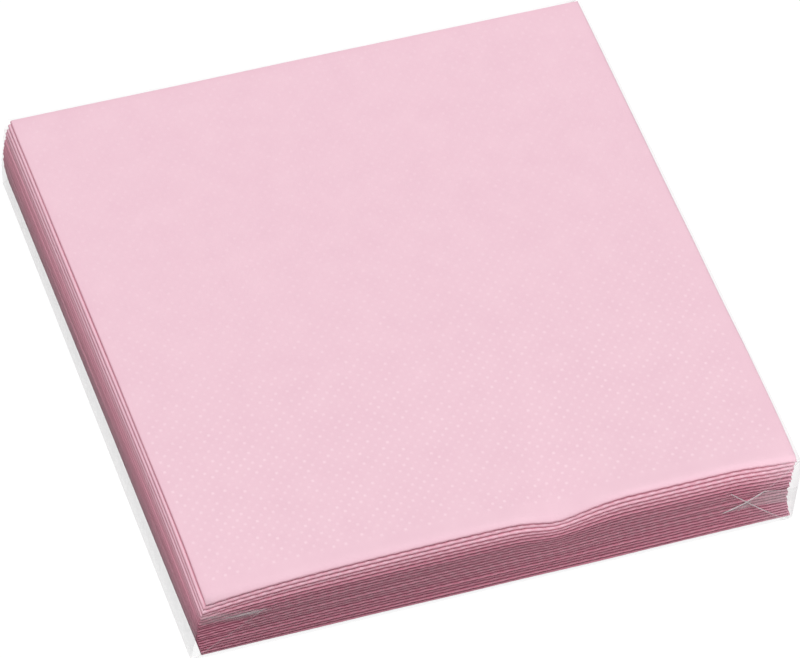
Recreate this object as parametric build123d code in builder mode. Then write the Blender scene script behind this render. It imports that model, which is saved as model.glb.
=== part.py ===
from build123d import *
import math
import os

# A stack of quarter-folded paper napkins, sealed in a clear film overwrap with envelope-folded ends.
# Millimetres, +Z up, origin under the middle of the pack. The front is towards -Y.
# Each napkin's second fold is on the left (-X) and its first fold is at the back (+Y),
# so the leaf edges are open at the front and on the right.

# Napkin: one square sheet, folded in half twice, with the leaves pressed together at the folds
folded_side = 165.0
leaf_thickness = 0.27
leaf_gap = 0.05
fold_bevel = 0.17

# Stack: the bottom napkin lies a little to the right of the top one, the middle ones bow out to the left,
# the uppermost few are set back from the front, and each lies slightly out of square
napkin_count = 20
napkin_gap = 0.07
stack_lean = 1.3
stack_bow = 1.8
top_set_back = 0.8
napkin_scatter = 0.15
scatter_turn = 2.4

# Film overwrap
film_wall = 0.1
film_edge_radius = 0.5
left_slack = 0.6
edge_clearance = 0.1
seam_lap = 14.0
flap_depth = 17.0
flap_angle = 45.0

# A pair of leaves is the sheet folded once, and a napkin is that pair folded again
pair_thickness = 2 * leaf_thickness + leaf_gap
turn_radius = (pair_thickness + leaf_gap) / 2
turn_reach = turn_radius + pair_thickness / 2
run_length = folded_side - turn_reach
napkin_pitch = 2 * pair_thickness + leaf_gap + napkin_gap

# The seam's inner ply lies under the lowest napkin
stack_base = 2 * film_wall + napkin_gap
stack_top = stack_base + napkin_count * napkin_pitch
bow_reach = (4 * stack_bow - stack_lean) ** 2 / (16 * stack_bow)
bow_climb = 0.5 + stack_lean / (8 * stack_bow)
bow_height = stack_base + bow_climb * (stack_top - stack_base)

# Inside of the film: it clears the napkins' edges by its own rounding, and its left side follows
# the bow of the stack and tents out to the floor
inside_radius = film_edge_radius - film_wall
edge_room = napkin_scatter + inside_radius + edge_clearance
stack_middle_x = (bow_reach + left_slack - stack_lean) / 2
inside_depth = folded_side + top_set_back + 2 * edge_room
inside_right = stack_middle_x + folded_side / 2 + stack_lean + edge_room
inside_top_right = stack_middle_x + folded_side / 2 + edge_room
inside_top_left = stack_middle_x - folded_side / 2 - edge_room
inside_bow_left = inside_top_left - bow_reach
inside_left = inside_bow_left - left_slack
film_depth = inside_depth + 2 * film_wall
film_height = stack_top + film_wall

os.makedirs("parts", exist_ok=True)


def open_corner(index):
    """Front right corner of a napkin's underside, counted from the bottom of the stack."""
    climb = index / max(napkin_count - 1, 1)
    bow = 4 * stack_bow * climb * (1 - climb)
    set_back = top_set_back * (climb**6 - 0.5)
    sideways = stack_lean * (1 - climb) - bow + napkin_scatter * math.sin(scatter_turn * index)
    lengthways = set_back + napkin_scatter * math.cos(scatter_turn * index)
    return Vector(
        stack_middle_x + folded_side / 2 + sideways,
        lengthways - folded_side / 2,
        stack_base + index * napkin_pitch,
    )


# Napkins: the section of a pair of leaves, bevelled at its fold, follows the second fold round the left edge
for index in range(napkin_count):
    corner = open_corner(index)
    lower_middle = corner + Vector(0, 0, pair_thickness / 2)
    upper_middle = lower_middle + Vector(0, 0, 2 * turn_radius)
    with BuildPart() as napkin:
        with BuildLine():
            lower_run = Line(lower_middle, lower_middle - Vector(run_length, 0, 0))
            turn = TangentArc(lower_run @ 1, upper_middle - Vector(run_length, 0, 0), tangent=lower_run % 1)
            Line(turn @ 1, upper_middle)
        with BuildSketch(Plane(lower_middle, x_dir=(0, 1, 0), z_dir=(-1, 0, 0))) as pair:
            Rectangle(folded_side, pair_thickness, align=(Align.MIN, Align.CENTER))
            chamfer(pair.vertices().group_by(Axis.Y)[-1], length=fold_bevel)
        sweep()
        # The two leaves of each pair part from the open edges as far as the folds
        with Locations(lower_middle, upper_middle):
            Box(
                run_length,
                folded_side - leaf_thickness,
                leaf_gap,
                align=(Align.MAX, Align.MIN, Align.CENTER),
                mode=Mode.SUBTRACT,
            )
    napkin.part.label = f"napkin_{index + 1:02d}"
    export_step(napkin.part, f"parts/{napkin.part.label}.step")

# Inside of the film, as a block: an uneven five-sided section along the depth of the pack
with BuildPart() as film_inside:
    with BuildSketch(Plane.XZ) as inside_section:
        with BuildLine():
            Polyline(
                (inside_left, film_wall),
                (inside_right, film_wall),
                (inside_top_right, stack_top),
                (inside_top_left, stack_top),
                (inside_bow_left, bow_height),
                close=True,
            )
        make_face()
    extrude(amount=inside_depth / 2, both=True)
    fillet(film_inside.edges().filter_by(Axis.Y), radius=inside_radius)

# Film: a closed skin round that block, with the inner ply of a lapped seam along the bottom
with BuildPart() as film_wrap:
    with BuildSketch(Plane.XZ):
        add(inside_section.sketch)
        offset(amount=film_wall, kind=Kind.INTERSECTION)
    extrude(amount=film_depth / 2, both=True)
    fillet(film_wrap.edges().filter_by(Axis.Y), radius=film_edge_radius)
    add(film_inside.part, mode=Mode.SUBTRACT)
    with Locations((0, 0, film_wall)):
        Box(seam_lap, inside_depth, film_wall, align=(Align.CENTER, Align.CENTER, Align.MIN))
    # Envelope folds: on each end the lower flap is folded up, and the upper flap down over it
    for facing in (-1, 1):
        end_plane = Plane((0, facing * film_depth / 2, 0), x_dir=(-facing, 0, 0), z_dir=(0, facing, 0))
        with BuildSketch(end_plane):
            lower_width = inside_right - inside_left - 2 * film_edge_radius
            Trapezoid(lower_width, flap_depth, flap_angle, align=(Align.CENTER, Align.MIN))
        extrude(amount=film_wall)
        with BuildSketch(end_plane):
            upper_width = inside_top_right - inside_top_left - 2 * film_edge_radius
            upper_middle = -facing * (inside_top_right + inside_top_left) / 2
            with Locations((upper_middle, film_height)):
                Trapezoid(
                    upper_width, flap_depth, flap_angle, rotation=180, align=(Align.CENTER, Align.MIN)
                )
        extrude(amount=2 * film_wall)
film_wrap.part.label = "film_wrap"
export_step(film_wrap.part, "parts/film_wrap.step")
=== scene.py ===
import math

import bmesh
import bpy
from mathutils import Matrix, Vector, noise


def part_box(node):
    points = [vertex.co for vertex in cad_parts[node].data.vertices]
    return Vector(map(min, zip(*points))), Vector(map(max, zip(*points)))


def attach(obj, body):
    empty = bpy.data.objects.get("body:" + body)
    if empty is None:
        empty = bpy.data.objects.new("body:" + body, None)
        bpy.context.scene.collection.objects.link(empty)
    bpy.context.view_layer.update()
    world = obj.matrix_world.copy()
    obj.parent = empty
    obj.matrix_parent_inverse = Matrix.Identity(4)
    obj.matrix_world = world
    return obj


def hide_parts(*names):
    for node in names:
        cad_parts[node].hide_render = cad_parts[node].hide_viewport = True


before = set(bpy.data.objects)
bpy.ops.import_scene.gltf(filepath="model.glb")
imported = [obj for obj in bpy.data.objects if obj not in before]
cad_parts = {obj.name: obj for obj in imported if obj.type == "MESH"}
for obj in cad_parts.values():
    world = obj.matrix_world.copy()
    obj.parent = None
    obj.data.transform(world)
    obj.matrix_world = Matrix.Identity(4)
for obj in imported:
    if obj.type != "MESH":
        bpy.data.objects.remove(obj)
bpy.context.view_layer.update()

scene = bpy.context.scene
scene.view_settings.view_transform = "Standard"

napkinNames = sorted(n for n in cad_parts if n.startswith("napkin_"))
napkinBoxes = [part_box(n) for n in napkinNames]
topLow, topHigh = napkinBoxes[-1]
stackBase, stackTop = napkinBoxes[0][0].z, topHigh.z
side = topHigh.x - topLow.x  # a folded napkin's side
filmLow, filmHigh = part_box("film_wrap")
filmHeight = filmHigh.z - filmLow.z


# helpers

def smoothStep(start, end, value):
    t = min(max((value - start) / (end - start), 0.0), 1.0)
    return t * t * (3 - 2 * t)


def lerp(a, b, t):
    return a + (b - a) * t


def fade(distance, reach):
    return math.exp(-distance / reach)


def hump(distance, width):
    return math.exp(-((distance / width) ** 2))


def profile(points, t):
    # straight from point to point
    for (t0, a), (t1, b) in zip(points, points[1:]):
        if t <= t1:
            return lerp(a, b, max(t - t0, 0.0) / (t1 - t0))
    return points[-1][1]


def wave(*place):
    return noise.noise(Vector(place))  # smooth, from about -1 to 1


def pick(*seed):
    return noise.cell(Vector(seed))  # one steady value for each seed, from -1 to 1


def newPiece(name, bm, material):
    mesh = bpy.data.meshes.new(name)
    bm.to_mesh(mesh)
    bm.free()
    piece = bpy.data.objects.new(name, mesh)
    scene.collection.objects.link(piece)
    mesh.materials.append(material)
    mesh.polygons.foreach_set("use_smooth", [True] * len(mesh.polygons))
    return piece


def gridOf(bm, across, along):
    # a flat grid whose lines stand at the given places
    made = bmesh.ops.create_grid(bm, x_segments=len(across) - 1, y_segments=len(along) - 1, size=0.5)
    for vert in made["verts"]:
        column = round((vert.co.x + 0.5) * (len(across) - 1))
        row = round((vert.co.y + 0.5) * (len(along) - 1))
        vert.co = (across[column], along[row], 0)
    return made["verts"]


# how the wrapped stack has settled, measured from its front left corner

sag = {
    "leftDrop": 0.0036, "leftReach": 0.017, "leftDepth": 0.013, "leftPower": 1.3,
    "dentDrop": 0.0029, "dentAt": 0.0975, "dentWidth": 0.0075, "dentDepth": 0.017, "dentPower": 2.0,
    "rise": 0.0012, "riseStarts": (0.104, 0.118), "riseEnds": (0.146, 0.160), "riseDepth": 0.05,
    "rightDrop": 0.0010, "rightReach": 0.005, "rightDepth": 0.008,
    "crush": 0.0006, "crushReach": 0.0034, "crushPower": 0.8,  # the front left corner is pushed in
    "crushDrop": 1.6,  # and down, for each step in
}


def settle(x, y, share):
    # how far a point rises, or drops, from its place in the solids
    along = min(max(x - topLow.x, 0.0), side)
    inward = max(y - topLow.y, 0.0)
    left = sag["leftDrop"] * fade(along, sag["leftReach"]) * fade(inward, sag["leftDepth"])
    dent = sag["dentDrop"] * hump(along - sag["dentAt"], sag["dentWidth"]) * fade(inward, sag["dentDepth"])
    swell = smoothStep(*sag["riseStarts"], along) * (1 - smoothStep(*sag["riseEnds"], along))
    rise = sag["rise"] * swell * fade(inward, sag["riseDepth"])
    right = sag["rightDrop"] * fade(side - along, sag["rightReach"]) * fade(inward, sag["rightDepth"])
    return (rise - right) * share - left * share ** sag["leftPower"] - dent * share ** sag["dentPower"]


def crushed(fromLeft, fromFront, share):
    fromCorner = max(fromLeft, 0.0) + max(fromFront, 0.0)
    return sag["crush"] * share ** sag["crushPower"] * fade(fromCorner, sag["crushReach"])


# camera, solved from the photograph's corners

shot = {
    "target": Vector((topLow.x + side / 2, topLow.y + side / 2, stackTop)),
    "offset": Vector((-0.4846, -0.9821, 1.3451)),
    "azimuth": -26.37, "elevation": 51.22, "roll": 8.45,
    "lens": 292.5, "sensor": 36, "clipEnd": 20,
}


def makeCamera():
    a, e, r = (math.radians(shot[k]) for k in ("azimuth", "elevation", "roll"))
    back = Vector((math.sin(a) * math.cos(e), -math.cos(a) * math.cos(e), math.sin(e)))
    level = Vector((math.cos(a), math.sin(a), 0))
    up = back.cross(level)
    right = level * math.cos(r) + up * math.sin(r)
    top = up * math.cos(r) - level * math.sin(r)
    data = bpy.data.cameras.new("photoCamera")
    data.lens = shot["lens"]
    data.sensor_width = shot["sensor"]
    data.clip_end = shot["clipEnd"]
    camera = bpy.data.objects.new("photoCamera", data)
    turn = Matrix((right, top, back)).transposed().to_4x4()
    camera.matrix_world = Matrix.Translation(shot["target"] + shot["offset"]) @ turn
    scene.collection.objects.link(camera)
    scene.camera = camera


makeCamera()
print("camera placed")


# node helpers

def newMaterial(name):
    material = bpy.data.materials.new(name)
    material.use_nodes = True
    return material, material.node_tree.nodes, material.node_tree.links


def attributeOf(nodes, name):
    node = nodes.new("ShaderNodeAttribute")
    node.attribute_name = name
    return node.outputs["Fac"]


def mathNode(nodes, links, operation, *values):
    node = nodes.new("ShaderNodeMath")
    node.operation = operation
    for socket, value in zip(node.inputs, values):
        if isinstance(value, (int, float)):
            socket.default_value = value
        else:
            links.new(value, socket)
    return node.outputs[0]


def colourMix(nodes, links, share, base, other):
    # from a set colour or another node's, towards a set one
    mix = nodes.new("ShaderNodeMix")
    mix.data_type = "RGBA"
    links.new(share, mix.inputs["Factor"])
    if isinstance(base, tuple):
        mix.inputs["A"].default_value = base
    else:
        links.new(base, mix.inputs["A"])
    mix.inputs["B"].default_value = other
    return mix.outputs["Result"]


def shaderMix(nodes, links, share, first, second):
    mix = nodes.new("ShaderNodeMixShader")
    links.new(share, mix.inputs["Fac"])
    links.new(first.outputs[0], mix.inputs[1])
    links.new(second.outputs[0], mix.inputs[2])
    return mix


def makeUneven():
    # soft mottling, fine or coarse, in both the paper and the film
    group = bpy.data.node_groups.new("fineUnevenness", "ShaderNodeTree")
    for name in ("Scale", "Detail"):
        group.interface.new_socket(name, in_out="INPUT", socket_type="NodeSocketFloat")
    group.interface.new_socket("Value", in_out="OUTPUT", socket_type="NodeSocketFloat")
    nodes, links = group.nodes, group.links
    given, result = nodes.new("NodeGroupInput"), nodes.new("NodeGroupOutput")
    place = nodes.new("ShaderNodeTexCoord")
    mottle = nodes.new("ShaderNodeTexNoise")
    links.new(place.outputs["Object"], mottle.inputs["Vector"])
    for name in ("Scale", "Detail"):
        links.new(given.outputs[name], mottle.inputs[name])
    links.new(mottle.outputs["Fac"], result.inputs["Value"])
    return group


uneven = makeUneven()


def unevenIn(nodes, scale, detail):
    node = nodes.new("ShaderNodeGroup")
    node.node_tree = uneven
    node.inputs["Scale"].default_value = scale
    node.inputs["Detail"].default_value = detail
    return node.outputs["Value"]


def bumpFrom(nodes, links, height, strength, distance):
    bump = nodes.new("ShaderNodeBump")
    bump.inputs["Strength"].default_value = strength
    bump.inputs["Distance"].default_value = distance
    links.new(height, bump.inputs["Height"])
    return bump.outputs["Normal"]


# tissue paper

paperLook = {
    "roughness": 0.95, "specular": 0.2,
    "dyeAndShade": ((0.835, 0.545, 0.64, 1), (0.885, 0.605, 0.69, 1)),  # uneven, between these two
    "dyeScale": 140, "dyeDetail": 5,
    "pale": (0.93, 0.67, 0.75, 1),     # painted highlight on the embossed dots and dashes
    "dotCore": 7,                      # how sharply a dot's paler middle ends
    "edge": (0.76, 0.185, 0.295, 1),   # painted shade: edges, gaps between leaves and grooves deeper in colour, for light that reaches them through the tissue
    "low": (0.30, 0.095, 0.145, 1),    # painted shade: duller low in the stack, where the light has come through more tissue
    "fibreScale": 1800, "fibreDetail": 3, "fibreStrength": 0.35, "fibreDepth": 0.0002,
}


def makePaper():
    look = paperLook
    material, nodes, links = newMaterial("napkinPaper")
    shader = nodes["Principled BSDF"]
    shader.inputs["Roughness"].default_value = look["roughness"]
    shader.inputs["Specular IOR Level"].default_value = look["specular"]
    cloud = unevenIn(nodes, look["dyeScale"], look["dyeDetail"])
    # painted highlight on the dots and dashes, painted shade at the edges, in the gaps and low in the stack
    dotCore = mathNode(nodes, links, "POWER", attributeOf(nodes, "dot"), look["dotCore"])
    colour = colourMix(nodes, links, cloud, *look["dyeAndShade"])
    colour = colourMix(nodes, links, dotCore, colour, look["pale"])
    colour = colourMix(nodes, links, attributeOf(nodes, "rim"), colour, look["edge"])
    colour = colourMix(nodes, links, attributeOf(nodes, "deep"), colour, look["low"])
    links.new(colour, shader.inputs["Base Color"])
    fibre = unevenIn(nodes, look["fibreScale"], look["fibreDetail"])
    normal = bumpFrom(nodes, links, fibre, look["fibreStrength"], look["fibreDepth"])
    links.new(normal, shader.inputs["Normal"])
    return material


# clear film

filmFinish = {
    "clear": (0.985, 0.985, 0.985, 1),
    "haze": (0.90, 0.89, 0.90, 1), "hazeRoughness": 0.3,
    "hazeFrom": (0.3, 0.7), "hazeTo": (0.85, 1.15),  # the haze is uneven
    "gloss": 0.08,                     # roughness of what it mirrors
    "squareOn": 0.028, "grazing": 0.14, "grazingPower": 5,  # how much it mirrors
    "glint": 0.85,                     # and how much more on a sharp crease
    "crinkleScale": 260, "crinkleDetail": 2, "crinkleStrength": 0.15, "crinkleDepth": 0.0004,
}


def makeFilmLook():
    look = filmFinish
    material, nodes, links = newMaterial("clearFilm")
    crinkle = unevenIn(nodes, look["crinkleScale"], look["crinkleDetail"])
    normal = bumpFrom(nodes, links, crinkle, look["crinkleStrength"], look["crinkleDepth"])
    haze = nodes["Principled BSDF"]
    haze.inputs["Base Color"].default_value = look["haze"]
    haze.inputs["Roughness"].default_value = look["hazeRoughness"]
    links.new(normal, haze.inputs["Normal"])
    gloss = nodes.new("ShaderNodeBsdfGlossy")
    gloss.inputs["Roughness"].default_value = look["gloss"]
    links.new(normal, gloss.inputs["Normal"])
    clear = nodes.new("ShaderNodeBsdfTransparent")
    clear.inputs["Color"].default_value = look["clear"]
    facing = nodes.new("ShaderNodeLayerWeight")
    facing.inputs["Blend"].default_value = 0.5
    rise = mathNode(nodes, links, "POWER", facing.outputs["Facing"], look["grazingPower"])
    mirror = mathNode(nodes, links, "MULTIPLY_ADD", rise, look["grazing"], look["squareOn"])
    glint = mathNode(nodes, links, "MULTIPLY_ADD", attributeOf(nodes, "crease"), look["glint"], mirror)
    skin = shaderMix(nodes, links, glint, clear, gloss)
    patchy = nodes.new("ShaderNodeMapRange")
    patchy.inputs["From Min"].default_value, patchy.inputs["From Max"].default_value = look["hazeFrom"]
    patchy.inputs["To Min"].default_value, patchy.inputs["To Max"].default_value = look["hazeTo"]
    links.new(crinkle, patchy.inputs["Value"])
    cloudy = mathNode(nodes, links, "MULTIPLY", attributeOf(nodes, "haze"), patchy.outputs["Result"])
    whole = shaderMix(nodes, links, cloudy, skin, haze)
    links.new(whole.outputs[0], nodes["Material Output"].inputs["Surface"])
    return material


paper = makePaper()
filmLook = makeFilmLook()


# napkins: one flat sheet each, folded at the back, then at the left

napkin = {
    "leaf": 0.00021,           # thickness of one leaf
    "step": (0.0044, 0.013),   # of the sheet's grid, across and along
    "apart": 0.0004,           # least distance between the grid's lines
    "foldSteps": 3,            # lines on each half of a fold
    "foldRows": (0.0012, 0.0022),  # extra lines beside the left fold
    "frontRows": (0.0004, 0.0010, 0.0018, 0.0032),  # and along the open edges
    "rightRows": (0.0006, 0.0020),
    "frontStep": 0.0006, "rightStep": 0.0012,  # finer steps along those rims
    "frontLongest": 0.0009, "rightLongest": 0.002,  # where a step is longer than this
    "leafOut": (-0.00011, -0.00017, -0.00011, 0.00009),  # how far each leaf stands out, from the lowest
    "leafJitter": 0.0001,
    "hold": 0.015, "edgeReach": 0.004,  # how far in from the open edges a napkin, or a leaf, is shifted
    "even": 0.6,               # how far the front edges are tapped level with their neighbours
    "slowWave": 0.00018, "slowLength": 0.03,
    "drape": 0.00050, "topDrape": 0.00092, "drapeReach": 0.0019,  # the edges bend down over those below
    "uppermost": 3.2,          # about how many napkins hang over further
    "drapeLow": 0.15, "topDrapeLow": 0.6,  # the share of it that the lowest leaf takes
    "drapeRight": 0.3, "topDrapeRight": 0.1,  # and the right edges, on the lower napkins and the top one
    "ripple": 0.00004, "rippleLength": 0.0025, "rippleFrom": (-1, 2),  # least in the lowest napkins
    "dashLength": 0.0033, "dashSlant": 0.7,  # dashes embossed along the front, also painted paler, a painted highlight
    "dashWander": 2.2, "dashWanderLength": 0.025, "dashShift": 3.1,
    "dashIn": 0.0007, "dashWidth": 0.0006, "dashEnds": (-0.3, 0.7),
    "pinch": 0.18, "pinchVaries": 0.8, "pinchLength": 0.02,  # how much the leaves close up at the open edges
    "foldPinch": 0.12, "foldPinchReach": 0.0012,
    "bulge": 0.00100, "bulgeFrom": 3, "bulgeTo": 9,  # the film draws the top edges in past those below
    "stepOut": 0.00045, "stepFrom": 1.5,  # at the folds the uppermost step out past each other
    "foldWander": 0.00016, "wanderLength": 0.045, "wanderReach": 0.01,
    "cornerCurl": 0.00060, "curlReach": 0.006, "curlDown": 0.3, "curlFrom": (-0.5, 5),  # the lowest lie flat
    "curlAlike": 9,            # neighbours curl alike
    "dotStep": 0.00165, "dotRim": 0.00073, "dotRise": 0.00008,
    "dotClear": 0.92, "dotVaries": 0.08,
    "backDots": 0.86, "backFrom": (0.03, 0.12),  # the dots' painted highlight fades towards the back
}
napkinReach = []  # left, right, front and back of each folded napkin


def linesTo(half, radius, step, rows, beside=()):
    # grid lines from the fold to one open edge
    steps, quarter = napkin["foldSteps"], radius * math.pi / 2
    lines = [quarter * k / steps for k in range(steps + 1)] + list(beside)
    plain = round(half / step)
    lines += [half * k / plain for k in range(1, plain) if half * k / plain > lines[-1] + napkin["apart"]]
    while lines[-1] > half - rows[-1] - napkin["apart"]:
        lines.pop()
    return lines + [half - row for row in reversed(rows)] + [half]


def overFold(before, after):
    return [-s for s in reversed(before[1:])] + after


def bend(distance, radius, outward):
    # a strip turned back on itself: how far past the fold's middle, and how high, a point comes to lie
    quarter = radius * math.pi / 2
    if abs(distance) > quarter:
        return quarter - abs(distance), math.copysign(radius + outward, distance)
    turn = distance / radius
    return (radius + outward) * math.cos(turn), (radius + outward) * math.sin(turn)


def finer(bm, edges, step):
    groups = {}
    for edge in edges:
        groups.setdefault(round(edge.calc_length() / step), []).append(edge)
    for pieces, group in groups.items():
        if pieces > 1:
            bmesh.ops.subdivide_edges(bm, edges=group, cuts=pieces - 1, use_grid_fill=True)


def finerRims(bm, half):
    hair = 1e-6
    frontRim, rightRim = (half - napkin[rows][-1] - hair for rows in ("frontRows", "rightRows"))

    def runsOn(edge, along, rim, endRim, longest):
        # an edge that runs along a rim, clear of the other one, and is too long
        ends = [(abs(v.co[1 - along]), abs(v.co[along])) for v in edge.verts]
        onRim = all(out > rim and place < endRim + 2 * hair for out, place in ends)
        return onRim and abs(edge.verts[0].co[along] - edge.verts[1].co[along]) > longest

    front = [e for e in bm.edges if runsOn(e, 0, frontRim, rightRim, napkin["frontLongest"])]
    finer(bm, front, napkin["frontStep"])
    right = [e for e in bm.edges if runsOn(e, 1, rightRim, frontRim, napkin["rightLongest"])]
    finer(bm, right, napkin["rightStep"])


def embossDots(bm, half):
    # staggered dots on the leaf that shows, and how strong each dot's painted highlight is
    step = napkin["dotStep"]
    squares = []
    for face in bm.faces:
        middle = face.calc_center_median()
        isSquare = len(face.verts) == 4 and 0.9 < face.calc_area() / step**2 < 1.1  # a whole one
        if middle.x > 0 and middle.y > 0 and isSquare:
            if (round(middle.x / step - 0.5) + round(middle.y / step - 0.5)) % 2 == 0:
                squares.append(face)
    bmesh.ops.inset_individual(bm, faces=squares, thickness=napkin["dotRim"])
    strength = {}
    for face in squares:
        middle = face.calc_center_median()
        # how pale each dot is painted, a painted highlight
        clear = napkin["dotClear"] + napkin["dotVaries"] * pick(middle.x * 900, middle.y * 900, 4.2)
        clear *= lerp(1, napkin["backDots"], smoothStep(*napkin["backFrom"], half - middle.y))
        strength.update((vert, clear) for vert in face.verts)
    return strength


def ownShape(index):
    # what sets one napkin apart from the others in the stack
    low, high = napkinBoxes[index]
    near = [box[0] for box in napkinBoxes[max(index - 1, 0):index + 2]]
    fromTop = len(napkinNames) - 1 - index
    pitch = (high.z - low.z - napkin["leaf"]) / 3  # between one leaf and the next
    firstRadius, secondRadius = pitch / 2, pitch
    middleZ = (low.z + high.z) / 2
    upper = hump(fromTop, napkin["uppermost"])
    stepOut = napkin["stepOut"] * (1 - fade(fromTop, napkin["stepFrom"]))
    if fromTop:
        stepOut += low.x - sum(corner.x for corner in near) / len(near)
    recess = napkin["even"] * (low.y - sum(corner.y for corner in near) / len(near))
    bulge = (1 - fade(fromTop, napkin["bulgeFrom"])) * hump(fromTop, napkin["bulgeTo"])
    return {
        "index": index, "fromTop": fromTop, "low": low, "high": high,
        "pitch": pitch, "firstRadius": firstRadius, "secondRadius": secondRadius,
        "half": side - (secondRadius + firstRadius) * (1 - math.pi / 4),  # of the flat sheet
        "middleZ": middleZ, "share": (middleZ - stackBase) / (stackTop - stackBase),
        "stepOut": stepOut,
        "frontOut": recess + napkin["bulge"] * bulge,
        "drape": lerp(napkin["drape"], napkin["topDrape"], upper),
        "drapeLow": lerp(napkin["drapeLow"], napkin["topDrapeLow"], upper),
        "drapeRight": napkin["drapeRight"] if fromTop else napkin["topDrapeRight"],
        "ripple": napkin["ripple"] * smoothStep(*napkin["rippleFrom"], index),
        "curl": smoothStep(*napkin["curlFrom"], index),
        "deep": smoothStep(*dyeAndShade["deep"], fromTop),
    }


def flatSheet(bm, own):
    # finer on the leaf that shows, for its dots
    half, first, second = own["half"], own["firstRadius"], own["secondRadius"]
    stepAcross, stepAlong = napkin["step"]
    across = linesTo(half, second, stepAcross, napkin["rightRows"], napkin["foldRows"])
    along = linesTo(half, first, stepAlong, napkin["frontRows"])
    acrossShown, alongShown = across, along
    if own["fromTop"] == 0:
        acrossShown = linesTo(half, second, napkin["dotStep"], napkin["rightRows"])
        alongShown = linesTo(half, first, napkin["dotStep"], napkin["frontRows"])
    gridOf(bm, overFold(across, acrossShown), overFold(along, alongShown))
    finerRims(bm, half)


def layLeaf(u, v, own):
    # where a point of the flat sheet comes to lie, and what is near it
    index, low, high = own["index"], own["low"], own["high"]
    first, second = own["firstRadius"], own["secondRadius"]
    order = (3 if v > 0 else 2) if u > 0 else (0 if v > 0 else 1)  # which leaf, from the lowest
    seed = (index * 4 + order) * 1.7
    toRight, toFront = own["half"] - abs(u), own["half"] - abs(v)
    backward, outward = bend(v, first, 0)
    leftward, height = bend(u, second, outward)
    x = low.x + napkin["leaf"] / 2 + second + first - leftward
    y = high.y - napkin["leaf"] / 2 - first + backward
    fromLeft, fromBack = x - low.x, high.y - y
    level = height / (1.5 * own["pitch"])  # from -1 at the lowest leaf to 1

    # the open edges: napkins stand out unevenly, and their leaves ripple and bend down
    frontHold, rightHold = fade(toFront, napkin["hold"]), fade(toRight, napkin["hold"])
    edgeFront, edgeRight = fade(toFront, napkin["edgeReach"]), fade(toRight, napkin["edgeReach"])
    bendFront = max(1 - toFront / napkin["drapeReach"], 0.0) ** 2
    bendRight = max(1 - toRight / napkin["drapeReach"], 0.0) ** 2
    out = napkin["leafOut"][order] + napkin["leafJitter"] * pick(seed, 3, 5)
    beat = (x + napkin["dashSlant"] * toFront) / napkin["dashLength"] * math.tau
    beat += napkin["dashWander"] * wave(x / napkin["dashWanderLength"], index * 2.7, 3.5)
    beat += napkin["dashShift"] * (2 * pick(index * 1.3, 6, 1) - 1)
    slow, ripple = napkin["slowLength"], own["ripple"]
    y -= frontHold * (own["frontOut"] + napkin["slowWave"] * wave(x / slow, index * 4.1, 1.5))
    y -= edgeFront * out + ripple * bendFront * math.cos(beat)
    x += rightHold * napkin["slowWave"] * wave(y / slow, index * 4.1, 7.5) + edgeRight * out

    # the folds wander a little
    length, reach = napkin["wanderLength"], napkin["wanderReach"]
    x += fade(fromLeft, reach) * (napkin["foldWander"] * wave(y / length, index * 3.1, 4.5) - own["stepOut"])
    y += fade(fromBack, reach) * napkin["foldWander"] * wave(x / length, index * 3.1, 6.5)

    # the leaves close up at all four edges, bend down at the open ones and curl at their corner
    varies = wave(x / napkin["pinchLength"], y / napkin["pinchLength"], index * 2.3)
    pinch = napkin["pinch"] * max(frontHold, rightHold) * (1 + napkin["pinchVaries"] * varies)
    pinch += napkin["foldPinch"] * fade(min(fromLeft, fromBack), napkin["foldPinchReach"])
    z = own["middleZ"] + height * (1 - pinch)
    hang = own["drape"] * lerp(own["drapeLow"], 1, (level + 1) / 2)
    z -= hang * max(bendFront, own["drapeRight"] * bendRight)
    z += ripple * bendFront * math.sin(beat)
    z += ripple * bendRight * wave(y / napkin["rippleLength"], index * 5.3, 9.5)
    curl = (wave(seed / napkin["curlAlike"], 8.5, 2.5) - napkin["curlDown"]) * own["curl"]
    z += napkin["cornerCurl"] * curl * hump(math.hypot(toFront, toRight), napkin["curlReach"])

    push = crushed(fromLeft, toFront, own["share"])
    z += settle(x, y, own["share"]) - sag["crushDrop"] * push
    return Vector((x + push, y + push, z)), {
        "order": order, "level": level, "toFront": toFront, "toRight": toRight,
        "toEdge": min(toFront, toRight), "toFold": min(fromLeft, fromBack),
        "dash": smoothStep(*napkin["dashEnds"], math.sin(beat)),
        "onDash": hump(toFront - napkin["dashIn"], napkin["dashWidth"]),
    }


# painted shade: deeper colour at the cut edges, between the leaves, in the grooves between the folds and in
# under the napkin above, with a painted highlight on the front dashes; pairs run from the top of the stack
# to low in it

dyeAndShade = {
    "deep": (2.0, 6.0),        # how many napkins down the light is lost
    "topLeaf": (0.03, 0.85), "topReach": 0.0014,  # along the edges of a napkin's top leaf
    "cut": (0.3, -0.30), "cutReach": 0.00022,     # its cut edge itself shows paler low in the stack
    "dash": 0.95, "dashGap": 0.28,                # painted highlight on the dashes, painted shade in the gaps between them
    "under": 0.95, "underReach": 0.002,           # along the edges of the leaves under it
    "right": 0.5, "rightReach": 0.014,            # the painted shade is lighter where light comes in from the right too
    "fold": (0.05, 0.70), "foldUnder": 0.9, "foldReach": 0.0012,
    "underStarts": (0.95, 0.35), "underFull": (0.0, -0.6),  # levels of the lower half of a fold
    "coverStarts": (0.0005, 0.0011), "coverEnds": (0.002, 0.0045),  # painted shade just in under the napkin above
    "dull": 0.60, "dullReach": 0.003, "cutDull": 0.55, "foldDull": 0.06,
}


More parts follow.
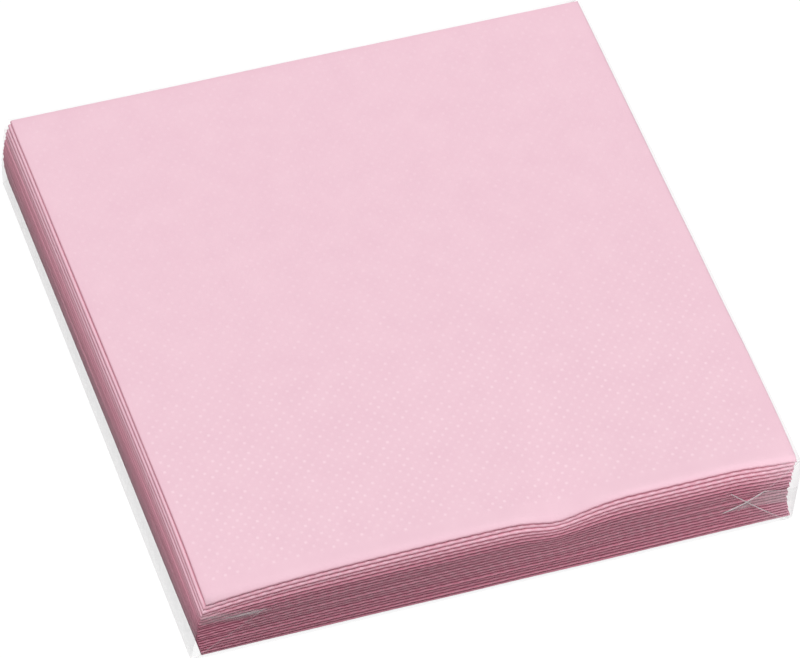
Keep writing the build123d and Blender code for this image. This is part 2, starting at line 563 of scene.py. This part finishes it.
def paintedShadeAt(near, own):
    # how deep and dull the painted shade, and how pale the painted highlight, is at this point
    deep, toEdge, toFold = own["deep"], near["toEdge"], near["toFold"]
    isTopLeaf, isCovered = near["order"] == 3, own["fromTop"] > 0
    cut, dot = 0.0, 0.0
    if isTopLeaf:
        cut = fade(near["toFront"], dyeAndShade["cutReach"])
        rim = lerp(*dyeAndShade["topLeaf"], deep) * fade(toEdge, dyeAndShade["topReach"]) + lerp(*dyeAndShade["cut"], deep) * cut
    else:
        rim = dyeAndShade["under"] * fade(toEdge, dyeAndShade["underReach"])
    if isTopLeaf and isCovered:
        # painted highlight on the dashes, painted shade in the gaps between them
        rim += dyeAndShade["dashGap"] * (1 - near["dash"]) * near["onDash"]
        dot = dyeAndShade["dash"] * near["dash"] * near["onDash"] * (1 - deep)
    # the painted shade is lighter towards the right, where light comes in from that side too
    rim *= lerp(dyeAndShade["right"], 1, smoothStep(0, dyeAndShade["rightReach"], near["toRight"]))
    under = smoothStep(lerp(*dyeAndShade["underStarts"], deep), lerp(*dyeAndShade["underFull"], deep), near["level"])
    fold = max(lerp(*dyeAndShade["fold"], deep), dyeAndShade["foldUnder"] * under)
    rim = max(rim, fold * fade(toFold, dyeAndShade["foldReach"]))
    if near["order"] == 0 or (isTopLeaf and isCovered):
        covered = min(toEdge, toFold)
        starts, ends = (smoothStep(*dyeAndShade[key], covered) for key in ("coverStarts", "coverEnds"))
        rim = max(rim, starts * (1 - ends))
    # painted shade: duller near the cut edges and folds, low in the stack
    dull = dyeAndShade["dull"] * fade(toEdge, dyeAndShade["dullReach"]) * (1 - dyeAndShade["cutDull"] * cut)
    dull = max(dull, dyeAndShade["foldDull"] * fade(toFold, dyeAndShade["dullReach"]))
    return {"rim": min(rim, 1.0), "deep": deep * dull, "dot": dot}


def foldNapkin(name, index):
    own = ownShape(index)
    bm = bmesh.new()
    flatSheet(bm, own)
    layers = {key: bm.verts.layers.float.new(key) for key in ("rim", "dot", "deep")}
    dots = embossDots(bm, own["half"]) if own["fromTop"] == 0 else {}
    for vert in bm.verts:
        place, near = layLeaf(vert.co.x, vert.co.y, own)
        for key, value in paintedShadeAt(near, own).items():
            vert[layers[key]] = value
        if vert in dots:
            vert[layers["dot"]] = dots[vert]
            place.z += napkin["dotRise"]
        vert.co = place
    places = [vert.co for vert in bm.verts]
    napkinReach.append((min(p.x for p in places), max(p.x for p in places),
                        min(p.y for p in places), max(p.y for p in places)))
    piece = newPiece(name + "_paper", bm, paper)
    wall = piece.modifiers.new("wall", "SOLIDIFY")
    wall.thickness = napkin["leaf"]
    wall.offset = 0
    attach(piece, "root")
    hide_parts(name)


for index, name in enumerate(napkinNames):
    foldNapkin(name, index)
print("napkins folded:", len(napkinNames))


# film: a tube of clear film round the stack, its ends tucked in at the sides and closed by two flaps

film = {
    "flat": (0.408, 0.201),
    "round": 0.0007,           # at the tube's long edges
    "step": 0.0025,            # of the tube's grid
    "gap": 0.00022,            # to the outermost paper
    "rightGap": 0.0008,        # at the top
    "rightIn": 0.0001,         # from the solid, at the foot
    "lift": 0.0002,            # above the top napkin
    "floorLeft": ((0, -0.08468), (1, -0.0831)),  # front to back
    "bowShare": 0.59,          # below this the left side tents out to the floor
    "leftHaze": (0.05, 0.15), "leftRises": (0, 0.25), "leftClears": (0.3, 0.7),  # cloudy where it tents out
    "cornerHaze": 0.26, "cornerReach": 0.003, "cornerClears": 0.5,  # and at the front right corner
    "footHaze": 0.06, "footClears": 0.2,
    "lowerDepth": 0.0182, "upperDepth": 0.0166,  # of the flaps
    "lowerLift": 0.00010, "upperLift": 0.00018,
    "flapSteps": (100, 18),    # of a flap's grid, across and down
    "flapLines": (0, 0.0007, 0.0014, 0.0021, 0.0028, 0.0036, 0.0045, 0.006),  # and more at its creases
    "flapLoose": 0.0002, "looseLength": 0.03,
    "flapInset": 0.0016,       # of the lower flaps, from the right
    "flapHaze": 0.006,
    "lowerSharp": (0.10, 0.85), "upperSharp": (0.05, 0.12),  # the creases on their left and right edges
    "softFoot": (0.02, 0.5),   # the lower right one fades towards the foot
    "crumple": 0.4, "crumpleReach": 0.003, "crumpleSize": (0.0012, 0.0005),  # at their right corners
    "crease": 0.00028, "creaseIn": 0.0003, "creaseWidth": 0.00013,  # height and place of a creased edge
    "creaseHaze": 0.55,
    "tuckStep": 30, "tuckRow": 22,  # of a tuck's grid
    "tuckLift": 0.00004, "tuckCrease": 0.8, "tuckSoft": 0.35, "tuckSharpens": (0.008, 0.011),
    "sideClear": 0.35, "sideReach": 0.004,  # tucks are clearer next to the side
    "rightTuckTop": ((0, 0.0152), (0.0040, 0.0150), (0.0100, 0.0164), (0.0152, 0.0124), (0.0213, 0.0098)),
    "rightTuckFoot": ((0, 0.0085), (0.0105, 0.0099), (0.0213, 0.0097)),
    "leftTuckTop": ((0, 0.0238), (0.005, 0.0222), (0.010, 0.0200), (0.0205, 0.0168)),
    "leftTuckFoot": ((0, 0.0180), (0.005, 0.0168), (0.010, 0.0150), (0.0205, 0.0152)),
    "rightTuckHaze": 0.18, "rightCreaseHaze": 0.35, "rightTuckGlint": 0.9,
    "leftTuckHaze": 0.36, "leftTuckEnds": (0.75, 1), "leftTuckGlint": 0.15,
    "streakLength": 0.012, "streakWidth": 0.0011, "streakStarts": (0.1, 0.45),  # on the left tucks
    "streakRise": 0.00015, "streakGlint": 0.40, "streakHaze": (0.75, 0.6),
}


def hugging(reach, outward):
    # where the film lies along one side, from the bottom up: just past the outermost paper near each height
    points = []
    for index, (low, high) in enumerate(napkinBoxes):
        near = [r[reach] for r in napkinReach[max(index - 1, 0):index + 2]]
        outermost = max(near) if outward > 0 else min(near)
        points.append((((low.z + high.z) / 2 - filmLow.z) / filmHeight, outermost + outward * film["gap"]))
    return points


hugLeft, hugRight = hugging(0, -1), hugging(1, 1)
hugFront, hugBack = hugging(2, -1), hugging(3, 1)


def filmSides(t, share):
    # the film's left and right faces at this depth and height
    left = profile(hugLeft, max(share, film["bowShare"]))
    if share < film["bowShare"]:
        left = lerp(profile(film["floorLeft"], t), left, math.sin(share / film["bowShare"] * math.pi / 2))
    right = lerp(filmHigh.x - film["rightIn"], topHigh.x + film["rightGap"], share)
    return left, max(right, profile(hugRight, share))


def filmPoint(s, t, share):
    # a point of the film from its place across, along and up the pack
    left, right = filmSides(t, share)
    front, back = profile(hugFront, share), profile(hugBack, share)
    x, y = lerp(left, right, s), lerp(front, back, t)
    push = crushed(x - left, y - front, share)
    z = filmLow.z + (filmHeight + film["lift"]) * share + settle(x, y, share) - sag["crushDrop"] * push
    return Vector((x + push, y + push, z))


def creased(distance):
    return hump(distance - film["creaseIn"], film["creaseWidth"])


def filmTube(bm, layers):
    bmesh.ops.create_cube(bm, size=1)
    size = Vector((filmHigh.x - filmLow.x, filmHigh.y - filmLow.y, filmHeight))
    bmesh.ops.scale(bm, vec=size, verts=bm.verts)
    bmesh.ops.delete(bm, geom=[f for f in bm.faces if abs(f.normal.y) > 0.5], context="FACES_ONLY")
    longEdges = [e for e in bm.edges if abs(e.verts[0].co.y - e.verts[1].co.y) > 0.1]
    bmesh.ops.bevel(bm, geom=longEdges, offset=film["round"], affect="EDGES", segments=3,
                    profile=0.5, material=-1)
    for axis in range(3):
        runs = [e for e in bm.edges if abs(e.verts[0].co[axis] - e.verts[1].co[axis]) > 0.02]
        cuts = round(size[axis] / film["step"]) - 1
        bmesh.ops.subdivide_edges(bm, edges=runs, cuts=cuts, use_grid_fill=True)
    for vert in bm.verts:
        s, t, share = (vert.co[k] / size[k] + 0.5 for k in range(3))
        atSide = abs(s - 0.5) * 2 > 0.99
        if s < 0.5:
            foot, more = film["leftHaze"]
            haze = foot + more * smoothStep(*film["leftRises"], share)
            haze *= 1 - smoothStep(*film["leftClears"], share)
        else:
            haze = film["cornerHaze"] * (1 - film["cornerClears"] * share)
            haze *= fade(t * size.y, film["cornerReach"])
            haze = max(film["footHaze"] - film["footClears"] * share, haze)
        vert[layers["haze"]] = haze if atSide else 0.0
        vert.co = filmPoint(s, t, share)


def filmFlap(bm, layers, t, fromTop):
    # a flap folded over an end, slanted at 45 degrees, its slanted edges creased
    facing = -1 if t < 0.5 else 1
    kind = "upper" if fromTop else "lower"
    depth, lift = film[kind + "Depth"], film[kind + "Lift"]
    leftSharp, rightSharp = film[kind + "Sharp"]
    crumpleWidth, crumpleHeight = film["crumpleSize"]
    inset = 0 if fromTop else film["flapInset"]
    steps, rows = film["flapSteps"]
    across = list(film["flapLines"])
    across += [k / steps for k in range(1, steps)] + [1 - s for s in reversed(across)]
    for vert in gridOf(bm, across, [k / rows for k in range(rows + 1)]):
        s, down = vert.co.x, vert.co.y
        slant = depth * down
        share = 1 - slant / filmHeight if fromTop else slant / filmHeight
        left, right = filmSides(t, share)
        width = right - left - 2 * slant - inset
        place = filmPoint((slant + s * width) / (right - left), t, share)
        bead = creased(min(s, 1 - s) * width)
        billow = 0.6 + 0.6 * wave(place.x / film["looseLength"], fromTop * 5.5, t)
        loose = film["flapLoose"] * down**2 * billow
        place.y += facing * (lift + film["crease"] * bead + loose)
        sharp = leftSharp if s < 0.5 else rightSharp
        if s >= 0.5 and not fromTop:
            sharp *= smoothStep(*film["softFoot"], down)
        crumple = fade(slant + (1 - s) * width, film["crumpleReach"])
        crumple *= max(0.5 + wave(place.x / crumpleWidth, place.z / crumpleHeight, 3.5), 0)
        haze = film["flapHaze"] + film["creaseHaze"] * sharp * bead
        vert[layers["haze"]] = haze + film["crumple"] * crumple
        vert[layers["crease"]] = sharp * bead
        vert.co = place


def filmTuck(bm, layers, t, atRight):
    # a side of the tube folded in under the flaps, a crumpled triangle standing on that side
    facing = -1 if t < 0.5 else 1
    kind = "right" if atRight else "left"
    top, foot = film[kind + "TuckTop"], film[kind + "TuckFoot"]
    length = top[-1][0]
    across = [k / film["tuckStep"] for k in range(film["tuckStep"] + 1)]
    rows = [k / film["tuckRow"] for k in range(film["tuckRow"] - 2)]
    rows += [0.9, 0.92, 0.94, 0.96, 0.98, 1]  # close together at the crease
    for vert in gridOf(bm, across, rows):
        along, up = vert.co.x, vert.co.y
        inward = along * length
        reach = profile(top, inward) - profile(foot, inward)
        share = (profile(foot, inward) + reach * up) / filmHeight
        left, right = filmSides(t, share)
        s = inward / (right - left)
        place = filmPoint(1 - s if atRight else s, t, share)
        bead = creased(reach * (1 - up))
        bead *= lerp(film["tuckSoft"], 1, smoothStep(*film["tuckSharpens"], inward))
        streak = 0 if atRight else wave(place.x / film["streakLength"], place.z / film["streakWidth"], 2.5)
        ridge = smoothStep(*film["streakStarts"], streak)
        rise = film["tuckLift"] + film["tuckCrease"] * film["crease"] * bead + film["streakRise"] * ridge
        place.y += facing * rise
        if atRight:
            haze = film["rightTuckHaze"] + film["rightCreaseHaze"] * bead
            crease = film["rightTuckGlint"] * bead
        else:
            body = math.sin(math.pi * up) * (1 - smoothStep(*film["leftTuckEnds"], along))
            plain, streaky = film["streakHaze"]
            haze = film["leftTuckHaze"] * body * (plain + streaky * streak)
            crease = film["leftTuckGlint"] * bead + film["streakGlint"] * ridge * body
        clearOfSide = lerp(film["sideClear"], 1, smoothStep(0, film["sideReach"], inward))
        vert[layers["haze"]] = haze * clearOfSide
        vert[layers["crease"]] = crease * clearOfSide
        vert.co = place


def makeFilm():
    bm = bmesh.new()
    layers = {key: bm.verts.layers.float.new(key) for key in ("haze", "crease")}
    filmTube(bm, layers)
    for t in (0, 1):
        filmTuck(bm, layers, t, False)
        filmTuck(bm, layers, t, True)
        filmFlap(bm, layers, t, False)
        filmFlap(bm, layers, t, True)
    bmesh.ops.remove_doubles(bm, verts=bm.verts, dist=1e-7)
    bmesh.ops.recalc_face_normals(bm, faces=bm.faces)
    piece = newPiece("film_wrap_film", bm, filmLook)
    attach(piece, "root")
    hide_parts("film_wrap")


makeFilm()
print("film wrapped")


# floor and light

stage = {
    "sun": (-0.16, -0.215, 0.96), "sunAngle": 36, "sunStrength": 3.03,
    "side": {"at": (0.21, -0.23, 0.024), "size": (0.24, 0.044), "strength": 0.22},
    "back": {"at": (0.24, 0.36, 0.045), "size": (0.30, 0.070), "strength": 0.40},
    "sky": 0.14, "skyInFilm": 1.0,  # as light, and as the film mirrors it
    "floorHalf": 6, "floorBounce": 0.15, "floorInFilm": 0.50,
    "floorSeen": 0.16, "floorGlow": 0.88,  # white to the camera, with the shadow kept
}


def plainNode(nodes, kind, colour):
    node = nodes.new(kind)
    node.inputs["Color"].default_value = (colour, colour, colour, 1)
    return node


def byRay(nodes, links, plain, mirrored, seen):
    # one shader as light, one for what the film mirrors and one for the camera
    path = nodes.new("ShaderNodeLightPath")
    unseen = shaderMix(nodes, links, path.outputs["Is Glossy Ray"], plain, mirrored)
    return shaderMix(nodes, links, path.outputs["Is Camera Ray"], unseen, seen)


def makeFloor():
    bm = bmesh.new()
    bmesh.ops.create_grid(bm, x_segments=1, y_segments=1, size=stage["floorHalf"])
    material, nodes, links = newMaterial("paleFloor")
    nodes.remove(nodes["Principled BSDF"])
    bounce = plainNode(nodes, "ShaderNodeBsdfDiffuse", stage["floorBounce"])
    mirrored = plainNode(nodes, "ShaderNodeBsdfDiffuse", stage["floorInFilm"])
    shaded = plainNode(nodes, "ShaderNodeBsdfDiffuse", stage["floorSeen"])
    glow = plainNode(nodes, "ShaderNodeEmission", stage["floorGlow"])
    white = nodes.new("ShaderNodeAddShader")
    links.new(shaded.outputs[0], white.inputs[0])
    links.new(glow.outputs[0], white.inputs[1])
    whole = byRay(nodes, links, bounce, mirrored, white)
    links.new(whole.outputs[0], nodes["Material Output"].inputs["Surface"])
    newPiece("paleFloor", bm, material)


def addLamp(data, place, backward):
    lamp = bpy.data.objects.new(data.name, data)
    lamp.location = place
    lamp.rotation_mode = "QUATERNION"
    lamp.rotation_quaternion = Vector(backward).to_track_quat("Z", "Y")
    lamp.visible_glossy = False
    scene.collection.objects.link(lamp)


def makeLight():
    data = bpy.data.lights.new("bigSoftbox", "SUN")
    data.angle = math.radians(stage["sunAngle"])
    data.energy = stage["sunStrength"]
    addLamp(data, Vector(stage["sun"]) * 2, stage["sun"])
    for name in ("side", "back"):
        box = stage[name]
        data = bpy.data.lights.new(name + "Softbox", "AREA")
        data.shape = "RECTANGLE"
        data.size, data.size_y = box["size"]
        data.energy = box["strength"]
        addLamp(data, box["at"], box["at"])
    world = bpy.data.worlds.new("studio")
    world.use_nodes = True
    nodes, links = world.node_tree.nodes, world.node_tree.links
    nodes.remove(nodes["Background"])
    dim = plainNode(nodes, "ShaderNodeBackground", stage["sky"])
    mirrored = plainNode(nodes, "ShaderNodeBackground", stage["skyInFilm"])
    white = plainNode(nodes, "ShaderNodeBackground", 1)
    whole = byRay(nodes, links, dim, mirrored, white)
    links.new(whole.outputs[0], nodes["World Output"].inputs["Surface"])
    scene.world = world


makeFloor()
makeLight()
print("stage lit")
